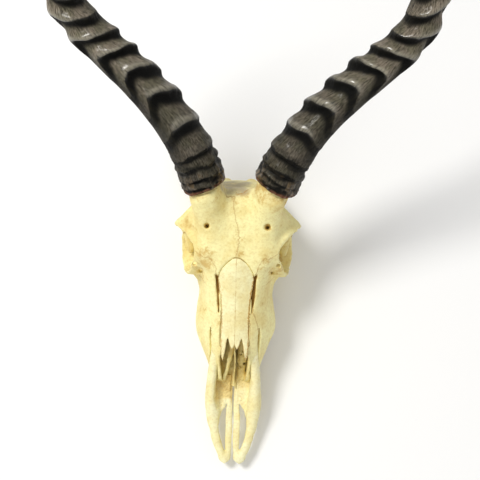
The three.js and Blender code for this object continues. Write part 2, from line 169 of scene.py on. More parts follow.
tilt, turned, leaning = math.radians(71.5), math.radians(0.05), math.radians(1.48)
ahead = Vector((math.sin(turned) * math.cos(tilt), math.cos(turned) * math.cos(tilt), -math.sin(tilt)))
right = Vector((math.cos(turned), -math.sin(turned), 0))
up = right.cross(ahead)
image_right = right * math.cos(leaning) + up * math.sin(leaning)
image_up = up * math.cos(leaning) - right * math.sin(leaning)
camera = bpy.data.objects.new("camera", bpy.data.cameras.new("camera"))
camera.data.sensor_width = 36
camera.data.lens = 62.81
camera.data.clip_start = 0.02
axes = Matrix((image_right, image_up, -ahead)).transposed().to_4x4()
camera.matrix_world = Matrix.Translation(Vector((2.2, -240.2, 748.8)) * MM) @ axes
scene.collection.objects.link(camera)
scene.camera = camera

# The skull is one grown mass of bone: upper jaws, forehead, eye sockets, cheekbones, braincase and
# the stumps that carry the horns. It is dry, yellowish and porous. Brown lines show where its bones
# have grown together. Clefts, holes and the nose passage are painted ochre to brown inside, darker
# the deeper they go: partly stain and partly painted shade. Under the horn rims and in the eye
# sockets the stain mark also holds painted shade.
rough_grid = 1.05


def held(values):
    return np.clip(values, 0, 1)


def through(places, values, at):
    """A smooth line through values at their places, read at other places."""
    places, values, at = (np.asarray(x, float) for x in (places, values, at))
    slopes = np.gradient(values, places, axis=0)
    i = np.clip(np.searchsorted(places, at, side="right") - 1, 0, len(places) - 2)
    shape = at.shape + (1,) * (values.ndim - 1)
    gap = (places[i + 1] - places[i]).reshape(shape)
    t = held((at - places[i]) / (places[i + 1] - places[i])).reshape(shape)
    first = (1 + 2 * t) * (1 - t) ** 2 * values[i] + t * (1 - t) ** 2 * gap * slopes[i]
    return first + t * t * (3 - 2 * t) * values[i + 1] + t * t * (t - 1) * gap * slopes[i + 1]


def smooth(pairs, at):
    """A smooth curve through pairs of a place and a value."""
    return through(*np.array(pairs, float).T, at)


def read(pairs, at):
    """The same, with straight lines between the pairs."""
    return np.interp(at, *np.array(pairs, float).T)


def far(points, spot):
    return np.linalg.norm(points - spot, axis=1)


def unit(directions):
    return directions / np.linalg.norm(directions, axis=1)[:, None]


def run_of(line, power=1):
    """How far along a line its points are. A power under 1 counts long gaps for less."""
    return np.concatenate([[0], np.cumsum(np.linalg.norm(np.diff(line, axis=0), axis=1) ** power)])


def read_line(line, run, at):
    """The places that are so far along a finely drawn line."""
    return np.stack([np.interp(at, run, line[:, k]) for k in range(3)], axis=1)


def even(line, count, closed):
    """Points an even distance apart on a finely drawn line."""
    run = run_of(line)
    return read_line(line, run, np.linspace(0, run[-1], count, endpoint=not closed))


def loop(points, count):
    """A closed smooth line through points."""
    points = np.asarray(points, float)
    around = np.vstack([points[-2:], points, points[:3]])
    places = run_of(around, 0.5)
    fine = through(places, around, np.linspace(places[2], places[2 + len(points)], 16 * count))
    return even(fine, count, True)


def section(y, half, count=72):
    """A section across the skull, from its left half given from top to bottom."""
    left = [(x, y, z) for x, z in half]
    return loop(left + [(-x, y, z) for x, _, z in left if x > 0][::-1], count)


def hull(rows, half_of, step=1.2):
    """Rings drawn every step through a few sections, each with its left half worked out from a row."""
    places = [y for y, *_ in rows]
    rings = np.array([section(y, half_of(*sizes)) for y, *sizes in rows])
    return through(places, rings, np.arange(places[0], places[-1] + 0.5 * step, step))


def ovals(centre, first, second, turn, first_half, second_half):
    """Rings of points round places, with half sizes in two directions."""
    return (centre[:, None] + first[:, None] * (np.cos(turn) * first_half)[..., None] + second[:, None]
            * (np.sin(turn) * second_half)[..., None])


def bar(path, half_wide, half_high, up=(0, 0, 1), start=0.0, count=60, sides=20):
    """Rings of an oval bar along a path, with half sizes that change along it."""
    path = np.asarray(path, float)
    t = np.linspace(start, 1, count)
    centre = through(np.linspace(0, 1, len(path)), path, t)
    forward = unit(np.gradient(centre, axis=0))
    wide = unit(np.cross(forward, up))
    high = np.cross(wide, forward)
    turn = np.linspace(0, 2 * math.pi, sides, endpoint=False)
    return ovals(centre, wide, high, turn, read(half_wide, t)[:, None], read(half_high, t)[:, None])


def skin(rings):
    """Points and faces of a closed body through rings of points."""
    count, sides = rings.shape[:2]
    points = np.vstack([rings.reshape(-1, 3), rings[0].mean(0), rings[-1].mean(0)])
    row, turn = np.meshgrid(np.arange(count - 1), np.arange(sides), indexing="ij")
    a, b = row * sides + turn, row * sides + (turn + 1) % sides
    walls = np.stack([a, b, b + sides, a + sides], axis=-1).reshape(-1, 4)
    k = np.arange(sides)
    last = (count - 1) * sides
    ends = [np.stack([np.full(sides, count * sides), (k + 1) % sides, k], 1),
            np.stack([np.full(sides, count * sides + 1), last + k, last + (k + 1) % sides], 1)]
    return points, walls, np.vstack(ends)


def lumps(points, size, seed):
    """Soft unevenness of about that size at points in space, from -1 to 1."""
    given = np.random.default_rng(seed).uniform(-1, 1, (32, 32, 32)).astype(np.float32)
    grid = np.asarray(points, np.float32) / size
    low = np.floor(grid).astype(np.int64)
    part = grid - low
    part = part * part * (3 - 2 * part)
    total = 0
    for corner in np.ndindex(2, 2, 2):
        at = (low + corner) & 31
        weight = np.prod(np.where(corner, part, 1 - part), axis=-1)
        total = total + weight * given[at[..., 0], at[..., 1], at[..., 2]]
    return total


class Bone:
    """A block of space that holds, at each of its points, how far away the bone's surface is."""

    def __init__(self, low, high, step, reach=5.0):
        self.low = np.array(low, float)
        self.step = step
        self.reach = reach
        self.field = np.full(np.ceil((np.array(high) - low) / step).astype(int), reach, np.float32)

    def axes(self, box=None):
        """The coordinates along the block, or along a part of it, ready to be worked with together."""
        box = box or tuple(slice(0, n) for n in self.field.shape)
        lines = [self.low[k] + self.step * np.arange(s.start, s.stop) for k, s in enumerate(box)]
        return np.meshgrid(*lines, indexing="ij", sparse=True)

    def part(self, low, high):
        """The part of the block between two corners, with room for soft joins."""
        first = np.floor((np.asarray(low) - self.reach - self.low) / self.step).astype(int)
        last = np.ceil((np.asarray(high) + self.reach - self.low) / self.step).astype(int) + 1
        return tuple(slice(max(a, 0), max(min(b, n), 1)) for a, b, n in zip(first, last, self.field.shape))

    def body(self, rings):
        """The distance to a closed body, in the part of the block that it reaches."""
        points, walls, ends = skin(rings)
        box = self.part(points.min(0), points.max(0))
        grid = openvdb.FloatGrid.createLevelSetFromPolygons(
            (points - self.low).astype(np.float32), triangles=ends.astype(np.uint32),
            quads=walls.astype(np.uint32), transform=openvdb.createLinearTransform(voxelSize=self.step),
            halfWidth=self.reach / self.step)
        distance = np.empty([s.stop - s.start for s in box], np.float32)
        grid.copyToArray(distance, ijk=tuple(s.start for s in box))
        return box, distance

    def ball(self, centre, radii):
        centre, radii = np.array(centre, float), np.array(radii, float)
        box = self.part(centre - radii, centre + radii)
        away = [line - c for line, c in zip(self.axes(box), centre)]
        near = np.sqrt(sum((a / r) ** 2 for a, r in zip(away, radii)))
        steep = np.sqrt(sum((a / r ** 2) ** 2 for a, r in zip(away, radii))) + 1e-6
        return box, (near * (near - 1) / steep).astype(np.float32)

    def lay(self, made, soft):
        """Adds bone, with a fillet of about that many millimetres."""
        box, distance = made
        self.field[box] = join_soft(self.field[box], distance, soft)

    def carve(self, made, soft):
        """Takes bone away, with an edge rounded by about that many millimetres."""
        box, distance = made
        self.field[box] = -join_soft(-self.field[box], distance.astype(np.float32), soft)

    def fill(self, rings, soft):
        self.lay(self.body(rings), soft)

    def cut(self, rings, soft):
        self.carve(self.body(rings), soft)

    def trim(self, past):
        """Takes away all that lies past a face, where that value is over 0."""
        self.field = np.maximum(self.field, past).astype(np.float32)

    def roughen(self, amount, size, seed, where=None):
        """Moves the surface in and out by up to that many millimetres."""
        near = np.argwhere(np.abs(self.field) < 2.5 * self.step)
        points = self.low + self.step * near
        moved = amount * lumps(points, size, seed)
        if where is not None:
            moved = moved * where(points)
        self.field[tuple(near.T)] += moved

    def surface(self):
        """The points, four-sided faces and three-sided faces of the bone's surface."""
        grid = openvdb.FloatGrid(self.reach)
        grid.copyFromArray(np.ascontiguousarray(self.field))
        grid.transform = openvdb.createLinearTransform(voxelSize=self.step)
        points, thirds, fours = grid.convertToPolygons(isovalue=0.0, adaptivity=0.0)
        return points + self.low, [*fours[:, ::-1].tolist(), *thirds[:, ::-1].tolist()]

    def at(self, points):
        """The distance held for points anywhere in the block."""
        grid = np.clip((points - self.low) / self.step, 0, np.array(self.field.shape) - 1.001)
        low = grid.astype(int)
        part = grid - low
        total = 0
        for corner in np.ndindex(2, 2, 2):
            weight = np.prod(np.where(corner, part, 1 - part), axis=-1)
            total = total + weight * self.field[tuple((low + corner).T)]
        return total


def join_soft(a, b, soft):
    if soft <= 0:
        return np.minimum(a, b)
    close = np.maximum(soft - np.abs(a - b), 0) / soft
    return np.minimum(a, b) - close * close * soft / 4


def outline_distance(x, y, outline):
    """How far points on a flat sheet are outside a closed outline; inside it the value is negative."""
    x, y = np.broadcast_arrays(x, y)
    nearest = np.full(x.shape, 1e9)
    inside = np.zeros(x.shape, bool)
    for (ax, ay), (bx, by) in zip(outline, np.roll(outline, -1, axis=0)):
        along = held(((x - ax) * (bx - ax) + (y - ay) * (by - ay))
                     / ((bx - ax) ** 2 + (by - ay) ** 2 + 1e-12))
        nearest = np.minimum(nearest, (x - ax - along * (bx - ax)) ** 2 + (y - ay - along * (by - ay)) ** 2)
        if ay != by:
            inside ^= ((ay > y) != (by > y)) & (x < (bx - ax) * (y - ay) / (by - ay) + ax)
    return np.sqrt(nearest) * np.where(inside, -1, 1)


both_sides = (("left", 1.0), ("right", -1.0))


def mirrored(rings, side):
    return np.asarray(rings, float) * (side, 1, 1)


def piece(name, points, faces, finish_of, slot_name, *nodes, most=None):
    """A mesh in place of those solids. It is thinned to at most that many triangles."""
    mesh = bpy.data.meshes.new(name)
    mesh.from_pydata(((np.asarray(points) - (0, origin_back, 0)) * MM).tolist(), [], faces)
    made = bpy.data.objects.new(name, mesh)
    scene.collection.objects.link(made)
    corners = sum(len(face) - 2 for face in faces)
    if most and corners > most:
        thin = made.modifiers.new("thin", "DECIMATE")
        thin.ratio = most / corners
        thinned = bpy.data.meshes.new_from_object(made.evaluated_get(bpy.context.evaluated_depsgraph_get()))
        made.modifiers.clear()
        made.data = thinned
        thinned.name = name
    made.data.materials.clear()
    made.data.materials.append(finish_of)
    made.data.shade_smooth()
    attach(made, "root")
    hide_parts(*nodes)
    return made


def points_of(made):
    """The points of a finished piece and the way the surface faces there."""
    count = len(made.data.vertices)
    flat, facing = np.zeros(3 * count, np.float32), np.zeros(3 * count, np.float32)
    made.data.vertices.foreach_get("co", flat)
    made.data.vertex_normals.foreach_get("vector", facing)
    return flat.reshape(-1, 3) / MM + (0, origin_back, 0), facing.reshape(-1, 3)


def mark(made, **marks):
    """Keeps values for the points of a piece, for its material. One number alone is for all points."""
    for name, values in marks.items():
        values = np.asarray(values, np.float32)
        if values.ndim == 0:
            values = np.full(len(made.data.vertices), values)
        kind, part = ("FLOAT_VECTOR", "vector") if values.ndim == 2 else ("FLOAT", "value")
        made.data.attributes.new(name, kind, "POINT").data.foreach_set(part, values.ravel())


face_sections = [
    (66, [(0, 38), (9, 38), (15, 34), (17, 24), (13, 17), (6, 18), (0, 20)]),
    (79, [(0, 52), (12, 50.5), (21, 40), (20, 22), (15, 14), (9, 18), (0, 22)]),
    (96, [(0, 68), (13, 64.5), (27.5, 43), (26, 17), (19, 11.5), (13, 15), (0, 24)]),
    (112, [(0, 76.5), (14, 72.5), (32.7, 46), (31, 17), (23, 11.5), (15, 15), (0, 26)]),
    (130, [(0, 86), (17, 81), (31, 52), (31.8, 18), (25, 11.5), (17, 16), (0, 27)]),
    (146, [(0, 94.5), (22, 89.5), (29.6, 58), (31.4, 20), (26, 12), (18, 17), (0, 28)]),
    (158, [(0, 99.5), (28, 94), (34.5, 64), (32, 28), (24, 20), (17, 24), (0, 31)]),
    (176, [(0, 107), (31, 98), (30, 72), (22, 42), (14, 34), (9, 33), (0, 36)]),
    (192, [(0, 113), (30, 102), (28, 76), (20, 46), (13, 36), (8, 34), (0, 35)]),
]
forehead_sections = [  # distance back, half width, height at the middle, height of the edge
    (147, 24, 94, 89), (157, 33, 99, 92.5), (166, 34.2, 103, 94.5), (175, 39.6, 107, 93.5),
    (184, 49.5, 111, 90), (189, 53.5, 114, 87), (196, 47, 117, 89), (202, 40, 117, 92),
    (210, 33, 112.5, 92), (216, 31, 102, 85),
]
braincase_sections = [  # distance back, half width, top, bottom
    (186, 27, 104, 44), (198, 31, 112, 38), (208, 33.5, 105, 35), (218, 34, 93.5, 33), (229, 33, 80, 31),
    (235, 30, 67, 31), (241.5, 25, 53, 32), (246, 15, 46, 35),
]
eye_rim = [
    (34.4, 164, 93), (34.2, 158, 90.5), (36.6, 154, 82), (40, 152, 71), (43, 154.5, 59), (45.5, 159.5, 51.5),
    (46.5, 167, 48.5), (47, 176, 51), (48, 185, 59), (50, 190, 71), (53, 186.6, 84), (45, 178.6, 91),
    (37.8, 169.8, 93),
]
eye_middle = (45, 168, 70)


def eye_ring(side, grow, outward, rear, ragged=0.0):
    """The rim round an eye, pushed out by a distance, moved in or out, and drawn back at the rear."""
    ring = loop(eye_rim, 96)
    away = ring - eye_middle
    away[:, 0] = 0
    grown = grow + ragged * np.random.default_rng(7).uniform(-1, 1, len(ring))
    away *= grown[:, None] / np.linalg.norm(away, axis=1)[:, None]
    ring = ring + away + (outward, 0, 0)
    ring[:, 1] += np.maximum(ring[:, 1] - 176, 0) * rear
    return mirrored(ring, side)


def stages(rings, count):
    return through(np.linspace(0, 1, len(rings)), np.array(rings), np.linspace(0, 1, count))


horn_ways = {
    "left": [(29.2, 208.5, 124), (40.3, 225, 146), (59.3, 244, 169), (83.3, 261, 189), (108, 277, 206),
             (128, 294, 225), (135.5, 317, 255), (140.6, 340, 295), (140, 358, 340), (134, 371, 390),
             (124, 380, 438), (111, 387, 487)],
    "right": [(-27.2, 208.5, 124), (-36.8, 226, 147), (-51.5, 243, 168), (-74.2, 262, 190),
              (-100, 280, 209), (-124, 299, 230), (-137, 320, 259), (-140.7, 342, 297),
              (-140, 359, 341), (-135, 372, 390), (-126, 380, 438), (-113, 387, 487)],
}
horn_length = 454.0
horn_root = np.array([19.5, 18.2])  # half its depth and half its width at the root
horn_front = np.array([0, -0.77, 0.64])  # the way that the ridges face


def horn_line(name, along):
    """Places along the middle of a horn, and there the directions ahead, to its front and inward."""
    way = np.array(horn_ways[name], float)
    places = run_of(way, 0.5)
    fine = even(through(places, way, np.linspace(0, places[-1], 4000)), 2001, False)
    run = np.linspace(0, horn_length, 2001)
    at = np.clip(along, 0, horn_length)
    centre = read_line(fine, run, at)
    forward = unit(read_line(np.gradient(fine, axis=0), run, at))
    front = unit(horn_front - forward * (forward @ horn_front)[:, None])
    inward = np.cross(front, forward) * (1 if name == "left" else -1)
    beyond = np.asarray(along, float) - at
    return centre + forward * beyond[:, None], forward, front, inward


def stump(name):
    """The bone under a horn's rim, with the start of the core that fills the horn."""
    sizes = [(-30, 0.35, 0.4), (-17, 0.78, 0.66), (-8, 0.84, 0.7), (-3, 0.88, 0.76), (-0.6, 0.88, 0.8),
             (-0.3, 0.78, 0.78), (6, 0.76, 0.76), (14, 0.74, 0.74)]
    centre, _, front, inward = horn_line(name, np.array([row[0] for row in sizes]))
    turn = np.linspace(0, 2 * math.pi, 72, endpoint=False)
    deep = horn_root[0] * np.array([row[1] for row in sizes])
    wide = horn_root[1] * np.array([row[2] for row in sizes])
    return ovals(centre, front, inward, turn, deep[:, None], wide[:, None])


nose_outline = np.array([
    (-2, 90), (0.1, 89.5), (2, 86), (3.8, 89), (5.7, 95.5), (7.4, 88), (9.3, 77), (10.9, 81), (11.9, 96),
    (11.3, 108), (11.6, 117), (12.6, 127), (15, 140.5), (13.9, 144.8), (11, 148.6), (7.2, 151.9),
    (3.2, 154.3),
    (0.1, 154.8), (-2, 154.8),
])
nose_arch = 0.022  # how fast the nose drops to its sides
nose_top = [(70, 57), (78, 62), (96, 69), (112, 77), (130, 86.5), (147, 96), (160, 101)]
jaw_limb = [(4.2, 0, 12), (9.3, 7, 13.5), (13.6, 18, 15.5), (16, 30, 17.5), (17.5, 43, 21.5), (18.4, 56, 27),
            (18, 69, 35), (16.4, 82, 45), (15.6, 95, 53), (14.4, 107, 60.5), (13.2, 117, 67)]
limb_wide = [(0, 3), (0.1, 3.3), (0.25, 4.1), (0.37, 5.9), (0.44, 6.2), (0.53, 5), (0.68, 4.2), (0.85, 3),
             (1, 0.8)]
limb_high = [(0, 2.4), (0.2, 3), (0.3, 4), (0.4, 6.2), (0.5, 8), (0.6, 6.5), (0.7, 4), (0.85, 2.6), (1, 1)]
tooth_lengths = [7.5, 8.5, 8.5, 11, 14, 15]  # front to back
tooth_gap = 0.6
tooth_widths = [6, 7.5, 9, 11.5, 12.5, 12]
tooth_tall = 17.0


def tooth_outline(index, side):
    """The outline of a cheek tooth from below: columns at the lip side, plainer at the tongue side."""
    back = 84 + (sum(tooth_lengths[:index]) + tooth_gap * index) + tooth_lengths[index] / 2
    out = read([(84, 18.5), (100, 21.5), (118, 23.5), (150, 25.2)], back)
    turn = side * read([(84, -0.16), (150, 0)], back)
    wide, half, lobes = tooth_widths[index], tooth_lengths[index] / 2, 1 if index < 3 else 2
    t = np.linspace(0, 1, 25)
    column = np.cos(2 * math.pi * lobes * t)
    lip = np.stack([wide / 2 + 0.07 * wide * column - 0.35, -half + 2 * half * t], 1)
    dent = np.abs(np.sin(math.pi * lobes * t))
    tongue = np.stack([-0.34 * wide - 0.16 * wide * dent, half * 0.86 * (1 - 2 * t)], 1)
    ring = np.vstack([lip, tongue]) * (side, 1)
    turned_by = np.array([[math.cos(turn), math.sin(turn)], [-math.sin(turn), math.cos(turn)]])
    return ring @ turned_by + (side * out, back)


nerve_holes = [  # place, radius, and the way out
    (24.7, 178.8, 107, 1.45, (-0.03, -0.33, 0.94)), (30, 149.5, 75, 1.5, (0.1, -0.45, 0.9)),
    (34, 156, 80, 1.1, (0.1, -0.45, 0.9)), (30, 101, 40, 2.0, (0.8, -0.6, 0.1)),
]
skull_space = ((-63, 54, -4), (63, 262, 146), rough_grid, 9.0)
mass = Bone(*skull_space)
mass.fill(hull(face_sections, lambda half: half), 0)
mass.fill(hull(forehead_sections, lambda h, mid, edge: [
    (0, mid), (0.5 * h, mid - 2), (0.85 * h, edge + 3), (h, edge - 2), (0.8 * h, edge - 7),
    (0, mid - 22)]), 2.5)
mass.fill(hull(braincase_sections, lambda h, t, b: [
    (0, t), (0.72 * h, b + 0.86 * (t - b)), (h, b + 0.5 * (t - b)), (0.7 * h, b + 0.13 * (t - b)),
    (0, b)]), 4)
for side in (1.0, -1.0):
    funnel = [eye_ring(side, 2.2, 0, 0), eye_ring(side, 2.8, -5, -0.1), eye_ring(side, 1, -16, -0.8),
              eye_ring(side, -5, -26, -0.9)]
    mass.fill(stages(funnel, 24), 2)
    cheekbone = [(26, 146, 46), (37, 159, 48), (44, 168, 49), (45, 179, 52), (44.5, 192, 55), (42, 205, 57),
                 (36, 215, 58), (27, 221, 59)]
    mass.fill(bar(mirrored(cheekbone, side), [(0, 2.5), (0.2, 3.2), (0.6, 2.8), (1, 4)],
                  [(0, 5), (0.2, 6.5), (0.5, 5.5), (0.7, 4.6), (1, 7)]), 2.5)
    prong = [(25, 238, 50), (24.5, 238, 32), (23, 237, 14), (22, 236, -3)]
    mass.fill(bar(mirrored(prong, side), [(0, 4), (0.5, 3.2), (1, 2)], [(0, 8), (0.5, 6), (1, 2.8)],
                  (0, 1, 0)), 3)
    mass.lay(mass.ball((side * 16, 222, 30), (7.5, 11, 11)), 2)
    mass.lay(mass.ball((side * 11, 241.2, 37), (8, 8.5, 9.5)), 2)
    plate = [(16, 155, 24), (13, 170, 29), (10, 186, 33), (9, 200, 36)]
    mass.fill(bar(mirrored(plate, side), [(0, 1.6), (1, 1.4)], [(0, 7), (0.5, 8.5), (1, 6)]), 1.5)
    tube = [(28, 221, 44), (35, 223, 46), (38, 224, 47)]
    mass.fill(bar(mirrored(tube, side), [(0, 5), (1, 4)], [(0, 5), (1, 4)]), 2)
    mass.fill(stump("left" if side > 0 else "right"), 6)
    slope = [(20, 164, 91), (21.5, 176, 99.5), (23.5, 187, 111), (26, 197, 123)]
    mass.fill(bar(mirrored(slope, side), [(0, 9), (0.5, 10), (1, 10)], [(0, 6), (1, 7.5)]), 9)
before_holes = Bone(*skull_space)
before_holes.field = mass.field.copy()
for side in (1.0, -1.0):
    socket = [eye_ring(side, 0, 8, 0), eye_ring(side, 0, 0, 0, 0.5), eye_ring(side, 0, -5, 0),
              eye_ring(side, -0.5, -9, 1), eye_ring(side, -5, -20, 1), eye_ring(side, -13, -26, 0)]
    mass.cut(stages(socket, 30), 0.8)
    mass.carve(mass.ball((side * 43, 203, 73), (11, 11, 13)), 2)
    for mid, back, high, radius, way in nerve_holes:
        line = [np.array((mid, back, high)) + np.array(way) * t for t in (-7, 0, 8, 20)]
        wide = [(0, radius), (0.2, radius), (0.6, 2.2 * radius)]
        mass.cut(bar(mirrored(line, side), wide, wide, (1, 0, 0)), 0.6)
    ear = [(41, 225, 47.5), (36, 223, 46.5), (28, 221, 45)]
    mass.cut(bar(mirrored(ear, side), [(0, 2.6), (1, 2)], [(0, 2.6), (1, 2)]), 0.8)
    cleft = [(16.2, 142, 94), (15.1, 134, 90), (14.7, 126, 86), (13.4, 112, 78)]
    more = 0.5 if side < 0 else 0
    wide = [(0, 1), (0.3, 1.2 + more), (0.5, 2 + more), (0.85, 1.8 + more), (1, 0.6)]
    mass.cut(bar(mirrored(cleft, side), wide, [(0, 8), (1, 8)]), 0.4)
    slit = [(18, 108, 62), (19.6, 102.9, 59.4), (20.1, 91.8, 53.4), (19.9, 82.2, 48.2), (18.9, 75, 43)]
    mass.cut(bar(mirrored(slit, side), [(0, 0.5), (0.3, 1.5), (0.7, 1.4), (1, 0.6)], [(0, 2.4), (1, 3)],
                 (0.35 * side, 0, 1)), 0.3)
    limb = bar(mirrored(jaw_limb, side), [(t, h + 0.35) for t, h in limb_wide],
               [(t, h + 0.35) for t, h in limb_high], (0, -0.2, 1), 0.5)
    mass.cut(limb, 0.2)
    box = mass.part((-17, 74, 50), (17, 156, 110))
    x, y, z = mass.axes(box)
    flat = outline_distance(side * x, y, nose_outline) - 0.14
    mass.carve((box, np.maximum(flat, read(nose_top, y) - nose_arch * x * x - 3.85 - z)), 0.2)
    behind = [(40.5, 172, 55), (41, 180, 60), (43.5, 190, 64)]
    mass.fill(bar(mirrored(behind, side), [(0, 2), (0.4, 4.4), (1, 4)], [(0, 1.5), (1, 2.5)]), 1)
    for index in range(6):
        ring = tooth_outline(index, side)
        box = mass.part((*ring.min(0), -2), (*ring.max(0), tooth_tall))
        x, y, z = mass.axes(box)
        flat = outline_distance(x, y, ring) - 0.45
        mass.carve((box, np.maximum(flat, np.abs(z) - tooth_tall - 0.35)), 0.3)
passage = [(60, 9.5, 60, 23), (76, 11.5, 62, 25), (96, 13, 58, 27), (112, 18, 66, 29), (130, 20, 73, 31),
           (146, 15, 76, 38), (154, 7, 70, 48)]
mass.cut(hull(passage, lambda h, t, b: [
    (0, t), (0.8 * h, b + 0.96 * (t - b)), (h, b + 0.4 * (t - b)), (0.75 * h, b + 1.5), (0, b)]), 1)
mass.cut(bar([(0, 58, 50), (0, 80, 52), (0, 96, 58), (0, 112, 66)], [(0, 8.5), (0.7, 9.5), (1, 6)],
             [(0, 18), (0.7, 12), (1, 5)]), 1.5)
mass.carve(mass.ball((0, 250, 44), (8.5, 15, 7)), 1)
x, y, z = mass.axes()
mass.trim(-z)
mass.roughen(0.7, 19, 1)
mass.roughen(0.35, 7, 2)
mass.roughen(0.5, 3.2, 3, lambda p: held(1 - np.minimum(
    np.abs(far(p, (27.5, 206, 119)) - 17), np.abs(far(p, (-25.5, 206, 119)) - 17)) / 5))
rim_line = loop(eye_rim, 60)
mass.roughen(1.1, 2.4, 4, lambda p: held(1 - np.min(
    [far(p * np.where(p[:, :1] < 0, (-1, 1, 1), 1), spot) for spot in rim_line], axis=0) / 3.5))


def nose_inside():
    """The thin plate that parts the nose passage, and the curled sheets of bone beside it."""
    block = Bone((-14, 54, 18), (14, 124, 66), 0.55, 3.0)
    curl = [(-7, 114, 50), (-4.8, 102, 47), (-4.4, 91, 42), (-6.4, 80, 36), (-8.6, 67, 29)]
    block.fill(bar(curl, [(0, 4), (0.6, 3.4), (0.9, 2.4), (1, 1)], [(0, 9), (0.5, 7), (0.8, 4), (1, 1.5)],
                   (0.4, 0, 1)), 0.5)
    block.cut(bar(np.array(curl) + (-1.8, 0, -0.6), [(0, 3.2), (0.7, 2.6), (1, 1)],
                  [(0, 8), (0.5, 6.4), (0.8, 3.6), (1, 1)], (0.4, 0, 1)), 0.4)
    broken = [(8, 116, 46), (7.6, 104, 42), (7, 92, 38), (6.6, 78, 31), (6, 68, 27)]
    block.fill(bar(broken, [(0, 4.5), (1, 3.4)], [(0, 9), (0.6, 6), (1, 2)], (-0.3, 0, 1)), 0.5)
    cells = np.random.default_rng(11).uniform((2.5, 66, 26), (12, 102, 50), (150, 3))
    for centre in cells:
        block.carve(block.ball(centre, (1.5, 1.6, 1.5)), 0.3)
    floor = [(0, 63, 21), (0, 71, 23.2), (0, 80, 25.5), (0, 92, 27.5), (0, 106, 30)]
    block.fill(bar(floor, [(0, 2), (0.12, 6), (0.25, 10), (0.45, 11), (1, 12)], [(0, 1), (0.2, 2), (1, 3.4)]),
               1)
    parting = [(0.9, 120, 46), (0.7, 104, 46), (0.3, 92, 45), (0.8, 80, 38), (0.3, 70, 30), (0.1, 62, 25)]
    block.fill(bar(parting, [(0, 0.6), (1, 0.5)], [(0, 20), (0.35, 18), (0.6, 12), (0.8, 6), (1, 2)]), 0)
    block.roughen(0.35, 2.5, 5)
    return block.surface()


def bone_finish(name, pale, warm, stain, line, aged):
    """Dry bone: cloudy yellow tones, brown stains, pores, and fine grooves along the bone. Hollows turn
    ochre and then dark brown with depth, partly stain and partly painted shade.
    """
    made, bone = new_finish(name)
    at = bone.place()
    cloud = at.noise(26, 4, 0.6).ramp(0.38, 0.66)
    fine = at.noise(2.2, 5, 0.65)
    patch = at.noise(9, 5, 0.7)
    pore = at.cells(1.7).ramp(0.05, 0.22, 1, 0) * at.noise(6, 3).ramp(0.48, 0.62)
    grooved = at.stretched((1.0, 0.16, 0.5)).noise(0.9, 4, 0.6)
    deep = bone.marked("deep").ramp(1.2, 7.0)
    seam = bone.marked("seam") + (at.noise(2.6, 3, 0.6) - 0.5) * 3.4
    seam_line = seam.size().ramp(0.1, 0.75, 1, 0) * bone.marked("seam_bold")
    # Stains brown the bone, and with them painted shade under the horn rims and in the eye sockets.
    stained = (bone.marked("stain") + patch.ramp(0.5, 0.75) * aged).ramp(0.35, 1.0) * patch.ramp(0.36, 0.6)
    base = cloud.colour(pale, warm)
    base = (fine.ramp(0.4, 0.7) * 0.3).colour(base, tint(206, 178, 108))
    base = (at.noise(4.5, 4, 0.7).ramp(0.5, 0.72) * 0.35).colour(base, tint(222, 196, 118))
    base = (stained * 0.75).colour(base, stain)
    # Grey patches: partly the bone's own grey and partly painted shade.
    greyed = bone.marked("grey") * (0.45 + at.noise(8, 4, 0.6).ramp(0.32, 0.62) * 0.5)
    base = greyed.colour(base, tint(184, 171, 138))
    base = (pore * 0.5).colour(base, stain)
    base = seam_line.colour(base, line)
    # Painted shade, partly stain: points deep in hollows turn ochre, and the deepest dark brown.
    base = deep.colour(base, (patch.ramp(0.4, 0.65)).colour(tint(238, 208, 124), tint(192, 154, 68)))
    base = bone.marked("deep").ramp(5.0, 9.0).colour(base, tint(126, 90, 24))
    relief = fine * 0.35 + grooved * 0.25 - pore * 0.5 - seam_line * 0.6 + patch * 0.5
    laid_on(bone, {"Base Color": base, "Roughness": 0.5 + fine * 0.25, "Specular IOR Level": 0.35}, relief,
            0.55)
    return made


dry_bone = bone_finish("dry_bone", tint(252, 244, 180), tint(240, 222, 150), tint(198, 158, 76),
                       tint(184, 138, 66), 0.5)
skull_points, skull_faces = mass.surface()
skull_points[:, 2] = np.maximum(skull_points[:, 2], 0)
inner_points, inner_faces = nose_inside()
inner_faces = [[k + len(skull_points) for k in face] for face in inner_faces]
skull = piece("skull_bone", np.vstack([skull_points, inner_points]), skull_faces + inner_faces, dry_bone,
              "skull_bone", "skull", most=190000)
seams = [
    (0.45, [(-1.3, 155, 98), (0.3, 161.5, 101), (1.3, 171.6, 105.5), (-1.5, 185, 111), (-3.6, 196.4, 115),
            (-1, 203, 117)]),
    (0.45, [(17.3, 143.4, 93), (17.8, 147.3, 95), (20.5, 152.2, 97), (23.7, 155.6, 98), (26, 153.6, 97.6),
            (33.1, 157.8, 97)]),
    (0.45, [(-17, 143.4, 93), (-16.8, 147.3, 95), (-19.5, 151, 96.5), (-22.7, 155, 98), (-27, 154.6, 97.6),
            (-33.1, 158.8, 97)]),
    (0.5, [(27, 141, 74), (31, 145, 66), (35, 150, 57), (39, 155, 50)]),
    (0.5, [(-27, 141, 74), (-31, 145, 66), (-35, 150, 57), (-39, 155, 50)]),
    (0.7, [(-1, 203, 117), (5, 205.5, 116), (11, 212, 110), (22, 219, 98)]),
    (0.7, [(-1, 203, 117), (-5, 200.5, 117), (-10, 200.5, 117), (-16, 206, 114), (-22, 219, 98)]),
    (0.7, [(44, 192, 60), (43, 198, 52)]), (0.7, [(-44, 191, 60), (-43, 198, 52)]),
    (1.0, [(12.4, 76, 60), (12.4, 96, 69), (12.2, 112, 76)]),
    (1.0, [(-12.4, 76, 60), (-12.6, 96, 69), (-12.2, 112, 76)]),
    (0.5, [(14.5, 116, 76), (17, 110, 68), (18, 106, 64)]),
]


